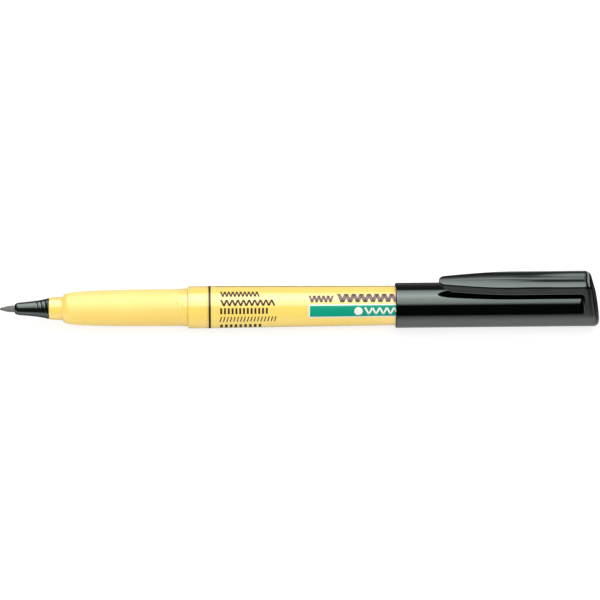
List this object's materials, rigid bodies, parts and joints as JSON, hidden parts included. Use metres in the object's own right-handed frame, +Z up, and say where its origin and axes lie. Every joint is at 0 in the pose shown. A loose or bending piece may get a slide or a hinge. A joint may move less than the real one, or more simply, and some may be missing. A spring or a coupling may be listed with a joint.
{
  "type": "fabric marker",
  "caption": "Slim fibre-tipped fabric marker with a tapered black nib holder, satin grip, printed wrap and a black clip cap posted on its tail.",
  "frame": {"origin": "on the ground under the middle of the pen, at the height of the cap's lowest line", "axes": "+X along the pen towards the posted cap's end, the nib points to -X; +Z up through the pocket clip; +Y across the pen"},
  "size_m": [0.1502, 0.0112, 0.0156],
  "materials": {
    "barrel_plastic": "glossy warm yellow moulded plastic",
    "grip_plastic": "satin grip, glossy neck and rear band, warm yellow moulded plastic",
    "holder_plastic": "black moulded plastic, half gloss",
    "nib_fibre": "bonded fibre rod, grey, darker where it writes",
    "reservoir_fibre": "bundled fibre soaked with ink",
    "reservoir_film": "thin clear film",
    "wrap_film": null,
    "cap_plastic": "high gloss black moulded plastic",
    "seal_plastic": "soft translucent grey plastic",
    "clip_plastic": "high gloss black moulded plastic"
  },
  "bodies": {
    "barrel": {"barrel": "barrel_plastic", "front_section": "grip_plastic", "nib_holder": "holder_plastic", "nib": "nib_fibre", "reservoir_core": "reservoir_fibre", "reservoir_wrap": "reservoir_film", "label_film": "wrap_film"},
    "cap": {"cap_shell": "cap_plastic", "inner_cap": "seal_plastic"},
    "clip": {"pocket_clip": "clip_plastic"}
  },
  "joints": [
    {"name": "cap_pull", "type": "slide", "parent": "barrel", "child": "cap", "axis": [1, 0, 0], "range_m": [0, 0.04]},
    {"name": "clip_flex", "type": "hinge", "parent": "cap", "child": "clip", "pos_m": [0.07049, 0, 0.01405], "axis": [0, 1, 0], "range_deg": [0, 5], "stiffness_Nm_per_rad": 1.5}
  ]
}
